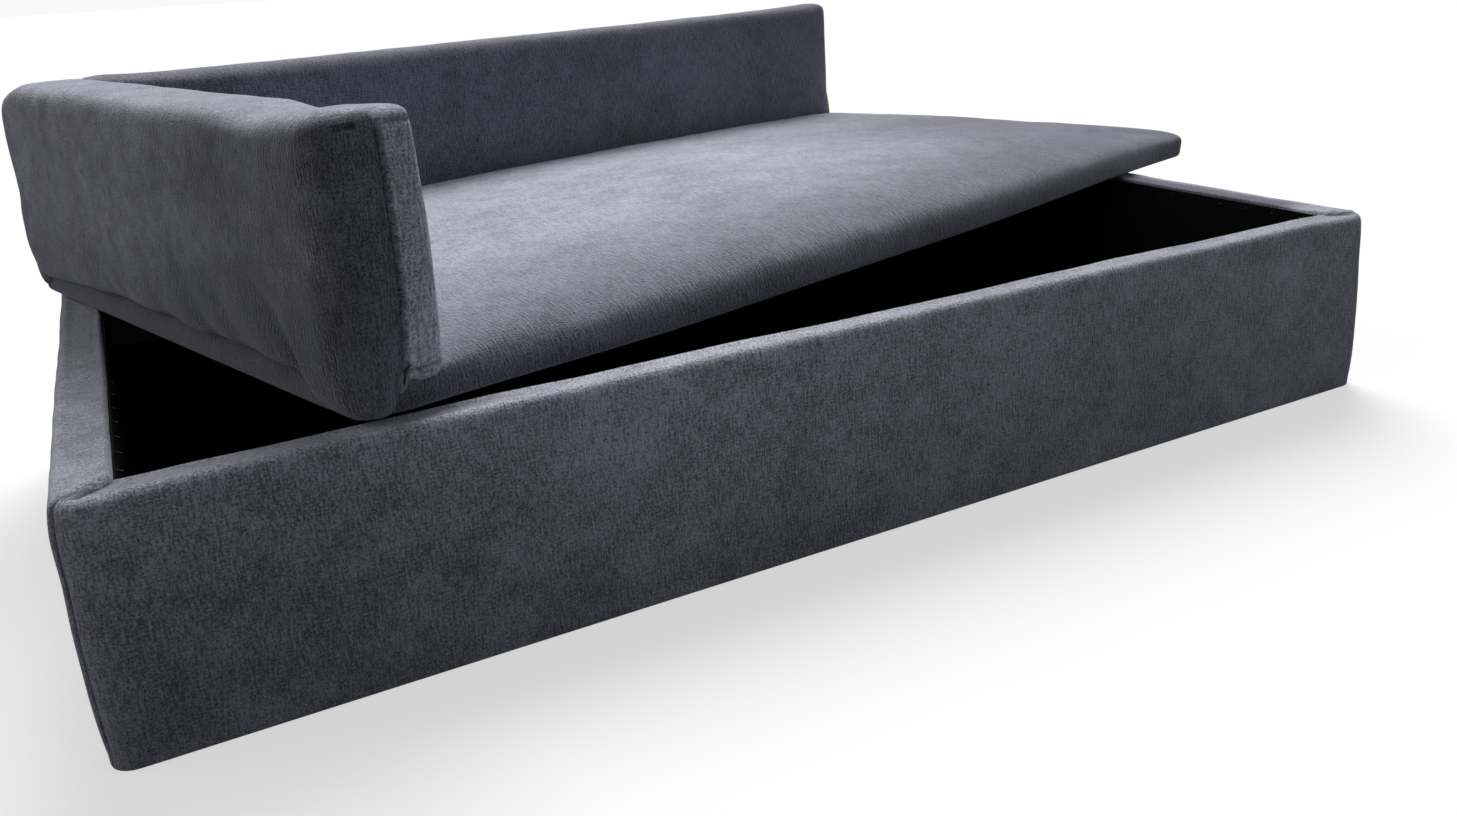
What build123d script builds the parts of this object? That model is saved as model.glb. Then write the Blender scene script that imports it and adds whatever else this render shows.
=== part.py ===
from build123d import *

import os

os.makedirs("parts", exist_ok=True)

# Dog sofa bed: an upholstered storage box whose padded lid carries an arm and a backrest.
# The lid lies on the box's rim and swivels on a pin in the rear left corner.
# Millimetres. +X runs along the box, +Y to its back, +Z up, from the centre of its underside.
# The lid is drawn where it stands, part open, and its own plane carries all of its pieces.

# Overall sizes
box_length = 800
box_depth = 450
box_height = 127

# Timber
wall_board = 12
floor_board_thickness = 9
seat_board_thickness = 9
bolster_board = 12

# Upholstery
wadding = 2.5
side_wadding = 9
cloth = 1.5
lining = 1
corner_radius = 9
rim_radius = 5
rim_inner_radius = 1.2
hem_radius = 2
inner_leg = 36
lining_drop = 3
dust_cover_inset = 9

# Seat pad
seat_edge_foam = 6
edge_wadding = 4
seat_edge_radius = 8
seat_corner_radius = 18
lid_hem = 20
lid_lining_inset = 12
seat_crown = 20
crown_at_arm = 10
crown_at_end = 8
crown_rear_share = 0.4
crown_margin = 9

# Arm and backrest bolsters, above the seat's edge band
arm_thickness = 44
arm_height = 119
backrest_thickness = 36
backrest_rise = 1
bolster_swell = 2.5
bolster_draw_in = 2.5
bolster_crown = 4
bolster_end_drop = 2
bolster_top_radius = 11
bolster_gap = 0.3

# Where the lid stands
swivel_angle = 17.5
pivot_inset_x = 52
pivot_inset_y = 52
lid_gap = 0.3

# Swivel pin, its bush, block and socket
pin_diameter = 10
pin_clearance = 0.05
pin_depth = 26
pin_rise = 10
pin_chamfer = 1
collar_diameter = 20
collar_thickness = 1.8
bush_wall = 2
bush_length = 28
bush_flange_diameter = 24
bush_flange = 1.5
block_side = 60
block_height = 30
block_drop = 4.2
socket_wall = 2
socket_flange_diameter = 44
socket_flange = 1.5
socket_roof = 1
socket_screw_circle = 16
socket_opening_gap = 1

# Wood screws
screw_diameter = 4
screw_head_diameter = 8
screw_head_height = 2.4
wall_screw_length = 40
floor_screw_length = 30
block_screw_length = 32
bolster_screw_length = 48
socket_screw_count = 3
socket_screw_diameter = 3
socket_screw_head_diameter = 5.6
socket_screw_head_height = 1.2
socket_screw_length = 8
screw_margin = 25
wall_screw_rise = 20
block_screw_spread = 16
block_screw_step = 8
long_side_screw_count = 4
short_side_screw_count = 2
arm_screw_count = 3
backrest_screw_count = 4

# One overrun serves every cut
overrun = 2

# The lid covers the box
lid_length = box_length
lid_depth = box_depth

# Levels of the box, from the floor up
hem_level = lining
floor_board_level = hem_level + cloth
wall_level = floor_board_level + floor_board_thickness
board_top = box_height - cloth - wadding
lining_level = wall_level + lining
lining_top = box_height - lining_drop

# Plan sizes of the box, from outside in
board_length = box_length - 2 * (cloth + side_wadding)
board_depth = box_depth - 2 * (cloth + wadding)
inside_length = board_length - 2 * wall_board
inside_depth = board_depth - 2 * wall_board
cavity_length = inside_length - 2 * cloth
cavity_depth = inside_depth - 2 * cloth
space_length = cavity_length - 2 * lining
space_depth = cavity_depth - 2 * lining

# The pivot and the lid's plane. The lid turns from square on the box about the pivot.
pivot_x = pivot_inset_x - box_length / 2
pivot_y = box_depth / 2 - pivot_inset_y
lid_level = box_height + lid_gap
turned = Plane.XY.rotated((0, 0, swivel_angle))
pivot_plane = Plane(origin=(pivot_x, pivot_y, lid_level), x_dir=turned.x_dir, z_dir=(0, 0, 1))
lid_plane = pivot_plane.shift_origin(pivot_plane.from_local_coords((-pivot_x, -pivot_y, 0)))

# Heights above the lid's plane
lid_hem_level = lining
seat_board_level = lid_hem_level + cloth
seat_foam_level = seat_board_level + seat_board_thickness
seat_level = seat_foam_level + seat_edge_foam + cloth

# The backrest stands a little higher than the arm.
backrest_height = arm_height + backrest_rise

# Places of the bolsters in the lid's plane
arm_middle = (arm_thickness - lid_length) / 2
backrest_start = arm_thickness + bolster_swell + bolster_gap - lid_length / 2
backrest_length = lid_length / 2 - backrest_start
backrest_middle = (lid_depth - backrest_thickness) / 2


def finish(piece, name):
    """Names a finished piece and writes it."""
    piece.part.label = name
    export_step(piece.part, f"parts/{name}.step")
    print(name, len(piece.part.solids()), round(piece.part.volume))


def turned_screw(diameter, head_diameter, head_height, length):
    """A countersunk wood screw, its head's face at the origin and its point down -Z."""
    with BuildPart() as one_screw:
        with BuildSketch(Plane.XZ):
            with BuildLine():
                Polyline(
                    (0, 0),
                    (head_diameter / 2, 0),
                    (diameter / 2, -head_height),
                    (diameter / 2, -length),
                    (0, -length),
                    close=True,
                )
            make_face()
        revolve(axis=Axis.Z)
    return one_screw.part


def wood_screws(length, planes):
    """A group of equal wood screws, each head flush with its plane and facing along its normal."""
    one_screw = turned_screw(screw_diameter, screw_head_diameter, screw_head_height, length)
    with BuildPart() as group:
        for plane in planes:
            with Locations(plane.location):
                add(one_screw)
    return group


def spread(length, margin, count):
    """Places at equal steps along a length, the first and last a margin from its ends."""
    step = (length - 2 * margin) / (count - 1)
    return [margin - length / 2 + step * index for index in range(count)]


def wall_zone(wall):
    """The ground that belongs to one wall, parted from its neighbours at 45 degrees."""
    far_x = box_length / 2 + overrun
    far_y = box_depth / 2 + overrun
    ridge = far_x - far_y
    near = -1 if wall in ("front", "left") else 1
    with BuildSketch(Plane.XY.offset(-overrun)) as zone:
        if wall in ("front", "back"):
            Polygon(
                (-far_x, near * far_y),
                (far_x, near * far_y),
                (ridge, 0),
                (-ridge, 0),
                align=None,
            )
        else:
            Polygon((near * far_x, -far_y), (near * far_x, far_y), (near * ridge, 0), align=None)
    return zone.sketch


# Screws that hold the box together
side_x = (board_length - wall_board) / 2
wall_screw_planes = []
for wall_sign in (-1, 1):
    for side_sign in (-1, 1):
        for height in (wall_level + wall_screw_rise, board_top - wall_screw_rise):
            wall_screw_planes.append(
                Plane(
                    origin=(side_sign * side_x, wall_sign * board_depth / 2, height),
                    z_dir=(0, wall_sign, 0),
                )
            )
wall_screws = wood_screws(wall_screw_length, wall_screw_planes)

side_y = (board_depth - wall_board) / 2
floor_screw_planes = []
for place in spread(board_length, 2 * screw_margin, long_side_screw_count):
    for sign in (-1, 1):
        floor_screw_planes.append(
            Plane(origin=(place, sign * side_y, floor_board_level), z_dir=(0, 0, -1))
        )
for place in spread(inside_depth, 2 * screw_margin, short_side_screw_count):
    for sign in (-1, 1):
        floor_screw_planes.append(
            Plane(origin=(sign * side_x, place, floor_board_level), z_dir=(0, 0, -1))
        )
floor_screws = wood_screws(floor_screw_length, floor_screw_planes)

# Screws that hold the pivot block come in through the back and the left board.
block_top = box_height - block_drop
block_middle = block_top - block_height / 2
block_screw_planes = []
for sign in (-1, 1):
    block_screw_planes.append(
        Plane(
            origin=(
                pivot_x + sign * block_screw_spread,
                board_depth / 2,
                block_middle - block_screw_step,
            ),
            z_dir=(0, 1, 0),
        )
    )
    block_screw_planes.append(
        Plane(
            origin=(
                -board_length / 2,
                pivot_y + sign * block_screw_spread,
                block_middle + block_screw_step,
            ),
            z_dir=(-1, 0, 0),
        )
    )
block_screws = wood_screws(block_screw_length, block_screw_planes)

# Rings from which the four walls' wadding and covers are parted
with BuildPart() as wadding_ring:
    with BuildSketch(Plane.XY.offset(floor_board_level)):
        RectangleRounded(box_length - 2 * cloth, box_depth - 2 * cloth, corner_radius - cloth)
    extrude(amount=box_height - cloth - floor_board_level)
    fillet(wadding_ring.edges().group_by(Axis.Z)[-1], radius=rim_radius - cloth)
    with BuildSketch(Plane.XY.offset(floor_board_level)):
        Rectangle(board_length, board_depth)
    extrude(amount=board_top - floor_board_level, mode=Mode.SUBTRACT)
    with BuildSketch(Plane.XY.offset(floor_board_level)):
        Rectangle(inside_length, inside_depth)
    extrude(amount=box_height, mode=Mode.SUBTRACT)

with BuildPart() as stuffing:
    # Everything that the covers wrap round: boards and wadding as one block.
    with BuildSketch(Plane.XY.offset(floor_board_level)):
        RectangleRounded(box_length - 2 * cloth, box_depth - 2 * cloth, corner_radius - cloth)
    extrude(amount=box_height - cloth - floor_board_level)
    fillet(stuffing.edges().group_by(Axis.Z)[-1], radius=rim_radius - cloth)
    with BuildSketch(Plane.XY.offset(box_height - inner_leg)):
        Rectangle(inside_length, inside_depth)
    extrude(amount=inner_leg, mode=Mode.SUBTRACT)

with BuildPart() as cover_ring:
    with BuildSketch(Plane.XY.offset(hem_level)):
        RectangleRounded(box_length, box_depth, corner_radius)
    extrude(amount=box_height - hem_level)
    fillet(cover_ring.edges().group_by(Axis.Z)[-1], radius=rim_radius)
    fillet(cover_ring.edges().group_by(Axis.Z)[0], radius=min(hem_radius, cloth + hem_level))
    with BuildSketch(Plane.XY.offset(box_height - inner_leg)):
        Rectangle(cavity_length, cavity_depth)
    extrude(amount=inner_leg, mode=Mode.SUBTRACT)
    inner_edges = cover_ring.edges().group_by(Axis.Z)[-1].filter_by(
        lambda edge: abs(edge.center().X) < inside_length / 2
        and abs(edge.center().Y) < inside_depth / 2
    )
    fillet(inner_edges, radius=rim_inner_radius)
    with BuildSketch(Plane.XY.offset(hem_level)):
        Rectangle(inside_length, inside_depth)
    extrude(amount=box_height - inner_leg - hem_level, mode=Mode.SUBTRACT)
    add(stuffing.part, mode=Mode.SUBTRACT)

# The four walls, each of board, wadding, cover and lining
wall_sizes = {
    "front": (board_length, wall_board, 0, -side_y),
    "back": (board_length, wall_board, 0, side_y),
    "left": (wall_board, inside_depth, -side_x, 0),
    "right": (wall_board, inside_depth, side_x, 0),
}
lining_sizes = {
    "front": (cavity_length, lining, 0, (lining - cavity_depth) / 2),
    "back": (cavity_length, lining, 0, (cavity_depth - lining) / 2),
    "left": (lining, space_depth, (lining - cavity_length) / 2, 0),
    "right": (lining, space_depth, (cavity_length - lining) / 2, 0),
}
for wall in ("front", "back", "left", "right"):
    size_x, size_y, middle_x, middle_y = wall_sizes[wall]
    with BuildPart() as board:
        with BuildSketch(Plane.XY.offset(wall_level)):
            with Locations((middle_x, middle_y)):
                Rectangle(size_x, size_y)
        extrude(amount=board_top - wall_level)
        add(wall_screws.part, mode=Mode.SUBTRACT)
        add(floor_screws.part, mode=Mode.SUBTRACT)
        add(block_screws.part, mode=Mode.SUBTRACT)
    finish(board, f"{wall}_board")

    with BuildPart() as wadding_strip:
        add(wadding_ring.part)
        extrude(wall_zone(wall), amount=box_height + 2 * overrun, mode=Mode.INTERSECT)
    finish(wadding_strip, f"{wall}_wadding")

    with BuildPart() as cover:
        add(cover_ring.part)
        extrude(wall_zone(wall), amount=box_height + 2 * overrun, mode=Mode.INTERSECT)
        add(block_screws.part, mode=Mode.SUBTRACT)
    finish(cover, f"{wall}_cover")

    size_x, size_y, middle_x, middle_y = lining_sizes[wall]
    with BuildPart() as wall_lining:
        with BuildSketch(Plane.XY.offset(lining_level)):
            with Locations((middle_x, middle_y)):
                Rectangle(size_x, size_y)
        extrude(amount=lining_top - lining_level)
        add(block_screws.part, mode=Mode.SUBTRACT)
    finish(wall_lining, f"{wall}_lining")

finish(wall_screws, "wall_screws")
finish(floor_screws, "floor_screws")
finish(block_screws, "block_screws")

with BuildPart() as floor_board:
    with BuildSketch(Plane.XY.offset(floor_board_level)):
        Rectangle(board_length, board_depth)
    extrude(amount=floor_board_thickness)
    add(floor_screws.part, mode=Mode.SUBTRACT)
finish(floor_board, "floor_board")

with BuildPart() as floor_lining:
    with BuildSketch(Plane.XY.offset(wall_level)):
        Rectangle(inside_length, inside_depth)
    extrude(amount=lining)
finish(floor_lining, "floor_lining")

with BuildPart() as dust_cover:
    with BuildSketch(Plane.XY):
        RectangleRounded(
            box_length - 2 * dust_cover_inset,
            box_depth - 2 * dust_cover_inset,
            corner_radius,
        )
    extrude(amount=lining)
finish(dust_cover, "dust_cover")

# The swivel: a hardwood block in the rear left corner, its bush and the pin
bush_diameter = pin_diameter + 2 * pin_clearance + 2 * bush_wall
block_x = (block_side - space_length) / 2
block_y = (space_depth - block_side) / 2

with BuildPart() as pivot_block:
    with BuildSketch(Plane.XY.offset(block_top - block_height)):
        with Locations((block_x, block_y)):
            Rectangle(block_side, block_side)
    extrude(amount=block_height)
    with Locations((pivot_x, pivot_y, block_top)):
        Hole(radius=bush_diameter / 2)
    add(block_screws.part, mode=Mode.SUBTRACT)
finish(pivot_block, "pivot_block")

with BuildPart() as pivot_bush:
    with BuildSketch(Plane.XY.offset(block_top)):
        with Locations((pivot_x, pivot_y)):
            Circle(bush_flange_diameter / 2)
    extrude(amount=bush_flange)
    with BuildSketch(Plane.XY.offset(block_top)):
        with Locations((pivot_x, pivot_y)):
            Circle(bush_diameter / 2)
    extrude(amount=-bush_length)
    with BuildSketch(Plane.XY.offset(block_top + bush_flange)):
        with Locations((pivot_x, pivot_y)):
            Circle(pin_diameter / 2 + pin_clearance)
    extrude(amount=-(bush_flange + bush_length), mode=Mode.SUBTRACT)
finish(pivot_bush, "pivot_bush")

collar_level = block_top + bush_flange + pin_clearance
with BuildPart() as pivot_pin:
    with BuildSketch(Plane.XY.offset(collar_level)):
        with Locations((pivot_x, pivot_y)):
            Circle(collar_diameter / 2)
    extrude(amount=collar_thickness)
    with BuildSketch(Plane.XY.offset(collar_level - pin_depth)):
        with Locations((pivot_x, pivot_y)):
            Circle(pin_diameter / 2)
    extrude(amount=pin_depth + collar_thickness + pin_rise)
    chamfer(pivot_pin.faces().sort_by(Axis.Z)[-1].edges(), length=pin_chamfer)
    chamfer(pivot_pin.faces().sort_by(Axis.Z)[0].edges(), length=pin_chamfer)
finish(pivot_pin, "pivot_pin")

# Screws of the lid
bolster_screw_planes = []
for place in spread(lid_depth, screw_margin * 2, arm_screw_count):
    bolster_screw_planes.append(
        Plane(
            origin=lid_plane.from_local_coords((arm_middle, place, seat_board_level)),
            z_dir=(0, 0, -1),
        )
    )
for place in spread(backrest_length, screw_margin * 2, backrest_screw_count):
    bolster_screw_planes.append(
        Plane(
            origin=lid_plane.from_local_coords(
                (place + backrest_start + backrest_length / 2, backrest_middle, seat_board_level)
            ),
            z_dir=(0, 0, -1),
        )
    )
bolster_screws = wood_screws(bolster_screw_length, bolster_screw_planes)
finish(bolster_screws, "bolster_screws")

socket_level = seat_board_level - socket_flange
with BuildPart() as socket_screws:
    small_screw = turned_screw(
        socket_screw_diameter,
        socket_screw_head_diameter,
        socket_screw_head_height,
        socket_screw_length,
    )
    with Locations(pivot_plane.offset(socket_level).location):
        with PolarLocations(socket_screw_circle, socket_screw_count):
            with Locations(Rotation(180, 0, 0)):
                add(small_screw)
finish(socket_screws, "socket_screws")

# The socket in the lid takes the pin's upper end.
socket_bore = pin_diameter / 2 + pin_clearance
socket_height = socket_flange + seat_board_thickness + socket_roof
with BuildPart() as socket_plate:
    with BuildSketch(pivot_plane.offset(socket_level)):
        Circle(socket_flange_diameter / 2)
    extrude(amount=socket_flange)
    with BuildSketch(pivot_plane.offset(socket_level)):
        Circle(socket_bore + socket_wall)
    extrude(amount=socket_height)
    with BuildSketch(pivot_plane.offset(socket_level)):
        Circle(socket_bore)
    extrude(amount=socket_height - socket_roof, mode=Mode.SUBTRACT)
    add(socket_screws.part, mode=Mode.SUBTRACT)
finish(socket_plate, "socket_plate")

with BuildPart() as lid_lining:
    with BuildSketch(lid_plane):
        Rectangle(lid_length - 2 * lid_lining_inset, lid_depth - 2 * lid_lining_inset)
    extrude(amount=lining)
    with BuildSketch(pivot_plane):
        Circle(socket_flange_diameter / 2 + socket_opening_gap)
    extrude(amount=lining, mode=Mode.SUBTRACT)
finish(lid_lining, "lid_lining")

with BuildPart() as seat_blank:
    with BuildSketch(lid_plane.offset(seat_board_level)):
        RectangleRounded(
            lid_length - 2 * (cloth + edge_wadding),
            lid_depth - 2 * (cloth + edge_wadding),
            seat_corner_radius - cloth - edge_wadding,
        )
    extrude(amount=seat_board_thickness)

with BuildPart() as socket_hole:
    with BuildSketch(pivot_plane.offset(socket_level)):
        Circle(socket_bore + socket_wall)
    extrude(amount=socket_height)

with BuildPart() as seat_board:
    add(seat_blank.part)
    add(socket_hole.part, mode=Mode.SUBTRACT)
    add(socket_screws.part, mode=Mode.SUBTRACT)
    add(bolster_screws.part, mode=Mode.SUBTRACT)
finish(seat_board, "seat_board")


def seat_form(inset):
    """The seat pad's outer form, or with an inset what lies that far under its cover."""
    length = lid_length - 2 * inset
    depth = lid_depth - 2 * inset
    low = lid_hem_level + inset
    start = arm_thickness - lid_length / 2
    run = lid_length / 2 - crown_margin - start
    front = crown_margin - lid_depth / 2
    rear = lid_depth / 2 - backrest_thickness
    with BuildPart() as form:
        with BuildSketch(lid_plane.offset(low)):
            RectangleRounded(length, depth, seat_corner_radius - inset)
        extrude(amount=seat_level - inset - low)
        fillet(form.edges().group_by(Axis.Z)[-1], radius=seat_edge_radius - inset)
        # The crown rises over the open part of the seat, most in its middle, and
        # it meets the backrest at a share of its height.
        for share, rise in ((0, crown_at_arm), (0.5, seat_crown), (1, crown_at_end)):
            across = Plane(
                origin=lid_plane.from_local_coords((start + share * run, 0, 0)),
                x_dir=lid_plane.y_dir,
                z_dir=lid_plane.x_dir,
            )
            level = seat_level - inset
            with BuildSketch(across):
                with BuildLine():
                    ThreePointArc(
                        (front, level),
                        ((front + rear) / 2, level + rise),
                        (rear, level + crown_rear_share * rise),
                    )
                    Line((rear, level + crown_rear_share * rise), (rear, level))
                    Line((rear, level), (front, level))
                make_face()
        loft()
    return form.part


with BuildPart() as seat_foam:
    add(seat_form(cloth))
    add(seat_blank.part, mode=Mode.SUBTRACT)
    add(socket_hole.part, mode=Mode.SUBTRACT)
    add(bolster_screws.part, mode=Mode.SUBTRACT)
finish(seat_foam, "seat_foam")

with BuildPart() as seat_cover:
    add(seat_form(0))
    add(seat_form(cloth), mode=Mode.SUBTRACT)
    with BuildSketch(lid_plane.offset(lid_hem_level)):
        Rectangle(lid_length - 2 * lid_hem, lid_depth - 2 * lid_hem)
    extrude(amount=cloth, mode=Mode.SUBTRACT)
    add(bolster_screws.part, mode=Mode.SUBTRACT)
finish(seat_cover, "seat_cover")


def bolster_form(foot, length, thickness, height, inset):
    """A bolster along the x of its foot plane: swollen sides, drawn-in foot, crowned top."""
    with BuildPart() as form:
        for share in (0, 0.5, 1):
            middle = 1 - abs(2 * share - 1)
            half = thickness / 2 - inset - bolster_draw_in
            swell = bolster_draw_in + bolster_swell * middle
            top = height - inset - bolster_end_drop * (1 - middle)
            shoulder = top - bolster_crown
            station = Plane(
                origin=foot.from_local_coords((inset + share * (length - 2 * inset), 0, 0)),
                x_dir=foot.y_dir,
                z_dir=foot.x_dir,
            )
            with BuildSketch(station) as section:
                with BuildLine():
                    Line((-half, inset), (half, inset))
                    ThreePointArc((half, inset), (half + swell, height / 2), (half, shoulder))
                    ThreePointArc((half, shoulder), (0, top), (-half, shoulder))
                    ThreePointArc((-half, shoulder), (-half - swell, height / 2), (-half, inset))
                make_face()
                fillet(
                    section.vertices().group_by(Axis.Y)[-1],
                    radius=bolster_top_radius - inset,
                )
        loft()
    return form.part


def build_bolster(name, foot, length, thickness, height):
    """Board, foam and cover of one bolster that stands on the seat."""
    board_rise = height - 2 * (wadding + cloth + bolster_crown)
    with BuildPart() as board:
        start = foot.from_local_coords((length / 2, 0, cloth))
        with BuildSketch(Plane(origin=start, x_dir=foot.x_dir, z_dir=foot.z_dir)):
            Rectangle(length - 4 * (wadding + cloth), bolster_board)
        extrude(amount=board_rise)
        add(bolster_screws.part, mode=Mode.SUBTRACT)
    finish(board, f"{name}_board")
    with BuildPart() as foam:
        add(bolster_form(foot, length, thickness, height, cloth))
        add(board.part, mode=Mode.SUBTRACT)
        add(bolster_screws.part, mode=Mode.SUBTRACT)
    finish(foam, f"{name}_foam")
    with BuildPart() as cover:
        add(bolster_form(foot, length, thickness, height, 0))
        add(bolster_form(foot, length, thickness, height, cloth), mode=Mode.SUBTRACT)
        add(bolster_screws.part, mode=Mode.SUBTRACT)
    finish(cover, f"{name}_cover")


arm_foot = Plane(
    origin=lid_plane.from_local_coords((arm_middle, -lid_depth / 2, seat_level)),
    x_dir=lid_plane.y_dir,
    z_dir=(0, 0, 1),
)
build_bolster("arm", arm_foot, lid_depth, arm_thickness, arm_height)
backrest_foot = Plane(
    origin=lid_plane.from_local_coords((backrest_start, backrest_middle, seat_level)),
    x_dir=lid_plane.x_dir,
    z_dir=(0, 0, 1),
)
build_bolster(
    "backrest", backrest_foot, backrest_length, backrest_thickness, backrest_height
)

# Places that the record states
print("pivot", pivot_x, pivot_y, "lid centre", lid_plane.origin)
print("space", space_length, space_depth, lining_level, "block", block_x, block_y, block_top)
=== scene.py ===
# %% [markdown]
# # A dog sofa bed, dressed for its portrait
# The CAD model is the frame: a storage box, a lid that swivels on a pin, and the padded seat, arm
# and backrest on the lid. Here each soft part gets its cloth, and each hard part its finish.
# Loading the frame first means that nothing has to be fitted later: all is in metres, in one place.

# %% Load the frame
import math

import bmesh
import bpy
import numpy as np
from mathutils import Matrix, Vector, noise
from mathutils.kdtree import KDTree


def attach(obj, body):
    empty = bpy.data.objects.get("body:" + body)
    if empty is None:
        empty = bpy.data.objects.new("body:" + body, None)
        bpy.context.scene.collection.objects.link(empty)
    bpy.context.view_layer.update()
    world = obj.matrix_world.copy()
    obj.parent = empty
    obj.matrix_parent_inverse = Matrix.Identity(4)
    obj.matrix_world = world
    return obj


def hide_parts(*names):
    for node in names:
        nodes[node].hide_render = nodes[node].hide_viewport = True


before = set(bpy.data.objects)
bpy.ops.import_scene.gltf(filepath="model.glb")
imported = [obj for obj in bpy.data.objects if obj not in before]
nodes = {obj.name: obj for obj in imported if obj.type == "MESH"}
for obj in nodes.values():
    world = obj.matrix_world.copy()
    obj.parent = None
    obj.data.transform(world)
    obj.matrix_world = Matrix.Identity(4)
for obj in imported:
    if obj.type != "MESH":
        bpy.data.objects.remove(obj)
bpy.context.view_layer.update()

# %% [markdown]
# ## The camera
# The camera comes first, because every later choice is judged through it. Its place, turn and
# lens were found by fitting the box's straight edges. The lens shift stands for a cropped frame.

# %% Camera
PHOTO_WIDTH, PHOTO_HEIGHT = 1457, 816
FOCAL_PIXELS = 1219.3
MIDDLE_X, MIDDLE_Y = 781.7, 308.7
STANDPOINT = (-0.3509, -0.7574, 0.319)
AZIMUTH, ELEVATION, ROLL = 0.493, -0.281, -0.058
SENSOR = 36.0


def aim(azimuth, elevation, roll):
    """The camera's own right, up and back directions, as the columns of a matrix."""
    flat = math.cos(elevation)
    ahead = Vector((math.sin(azimuth) * flat, math.cos(azimuth) * flat, math.sin(elevation)))
    level = Vector((math.cos(azimuth), -math.sin(azimuth), 0))
    upright = level.cross(ahead)
    right = math.cos(roll) * level + math.sin(roll) * upright
    up = math.cos(roll) * upright - math.sin(roll) * level
    return Matrix((right, up, -ahead)).transposed()


def add_object(name, data):
    """An object that shows the data, in the scene."""
    made = bpy.data.objects.new(name, data)
    bpy.context.scene.collection.objects.link(made)
    return made


lens = bpy.data.cameras.new("portrait_camera")
lens.sensor_width = SENSOR
lens.lens = FOCAL_PIXELS / PHOTO_WIDTH * SENSOR
lens.shift_x = (PHOTO_WIDTH / 2 - MIDDLE_X) / PHOTO_WIDTH
lens.shift_y = (MIDDLE_Y - PHOTO_HEIGHT / 2) / PHOTO_WIDTH
lens.clip_start, lens.clip_end = 0.02, 100
camera = add_object("portrait_camera", lens)
turned = aim(AZIMUTH, ELEVATION, ROLL).to_4x4()
camera.matrix_world = Matrix.Translation(STANDPOINT) @ turned
bpy.context.scene.camera = camera
print("camera with a lens of", round(lens.lens, 1), "mm")

# %% [markdown]
# ## Colours and nodes
# Colours are written as hex, as a paint chart gives them, and turned to linear light by one
# function. One more adds a shader node with its settings and links, so that each material below
# reads as a short recipe.


# %% Colour and node helpers
def linear(code):
    """An sRGB hex colour as linear RGBA."""
    parts = [int(code[i : i + 2], 16) / 255 for i in (1, 3, 5)]
    return [p / 12.92 if p <= 0.04045 else ((p + 0.055) / 1.055) ** 2.4 for p in parts] + [1]


def add_node(tree, kind, settings=None, **sockets):
    """One node. settings are its properties; sockets are input values, or (node, output) links.
    A socket is given by its name, or as _0, _1 and so on by its place."""
    made = tree.nodes.new(kind)
    for key, value in (settings or {}).items():
        setattr(made, key, value)
    for key, value in sockets.items():
        key = int(key[1:]) if key[0] == "_" and key[1:].isdigit() else key.replace("_", " ")
        if isinstance(value, tuple) and hasattr(value[0], "outputs"):
            tree.links.new(value[0].outputs[value[1]], made.inputs[key])
        else:
            made.inputs[key].default_value = value
    return made


def new_material(name):
    """An empty material, its node tree and its output node."""
    made = bpy.data.materials.new(name)
    made.use_nodes = True
    made.node_tree.nodes.clear()
    print("material", name)
    return made, made.node_tree, made.node_tree.nodes.new("ShaderNodeOutputMaterial")


# %% [markdown]
# ## The chenille
# The cover is a charcoal chenille: tufted yarn, woven to a short pile with a slightly blue cast.
# To the eye that gives pale tufts on a dark ground, about 1.3 mm apart, with upright slubs and
# fainter level wefts between them, and clouds as wide as a thumb where the pile was brushed
# another way. The yarn follows the piece's own UV map, in metres, and the clouds follow its
# place. Each is a noise stretched to its real size, and their weighted sum picks the colour.
#
# A pile cloth also changes with its lay. Brushed flat it looks pale, and standing up it looks
# dark, as the eye falls between the tufts. Each piece carries its lay as an attribute from 0,
# standing, to 1, flat. The same attribute also carries painted light and shade: it is paler where
# a face is lit, and darker on faces in shade, under overhangs and in folds. In a seam it falls
# below 0, which is painted shade, because there no light gets between the lips.

# %% Chenille
MM = 1000.0
WEAVE = (
    # what it follows, millimetres across and along, detail, roughness, weight
    ("yarn", 1.3, 1.04, 2.0, 0.6, 0.25),  # tufts
    ("yarn", 1.0, 1.6, 1.0, 0.5, 0.18),  # specks between the tufts
    ("yarn", 1.3, 8.0, 2.0, 0.6, 0.23),  # upright slubs
    ("yarn", 6.0, 1.1, 2.0, 0.6, 0.12),  # level wefts
    ("place", 20.0, 20.0, 3.0, 0.65, 0.14),  # clouds
    ("place", 110.0, 110.0, 2.0, 0.5, 0.08),  # strokes of the hand
)
TUFTS, SLUBS = 0, 2
# Colour pairs for standing and flat pile, which also serve as painted shade and painted light.
STANDING_AND_SHADED = ("#1a1b24", "#6f7082")
FLAT_AND_LIT = ("#757682", "#dfe0ef")
# Limits of the lay attribute: below 0 is painted seam shade, above 1 is painted light.
DEEPEST_SEAM_SHADE, FLATTEST_AND_LIT = -0.14, 1.15


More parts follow.
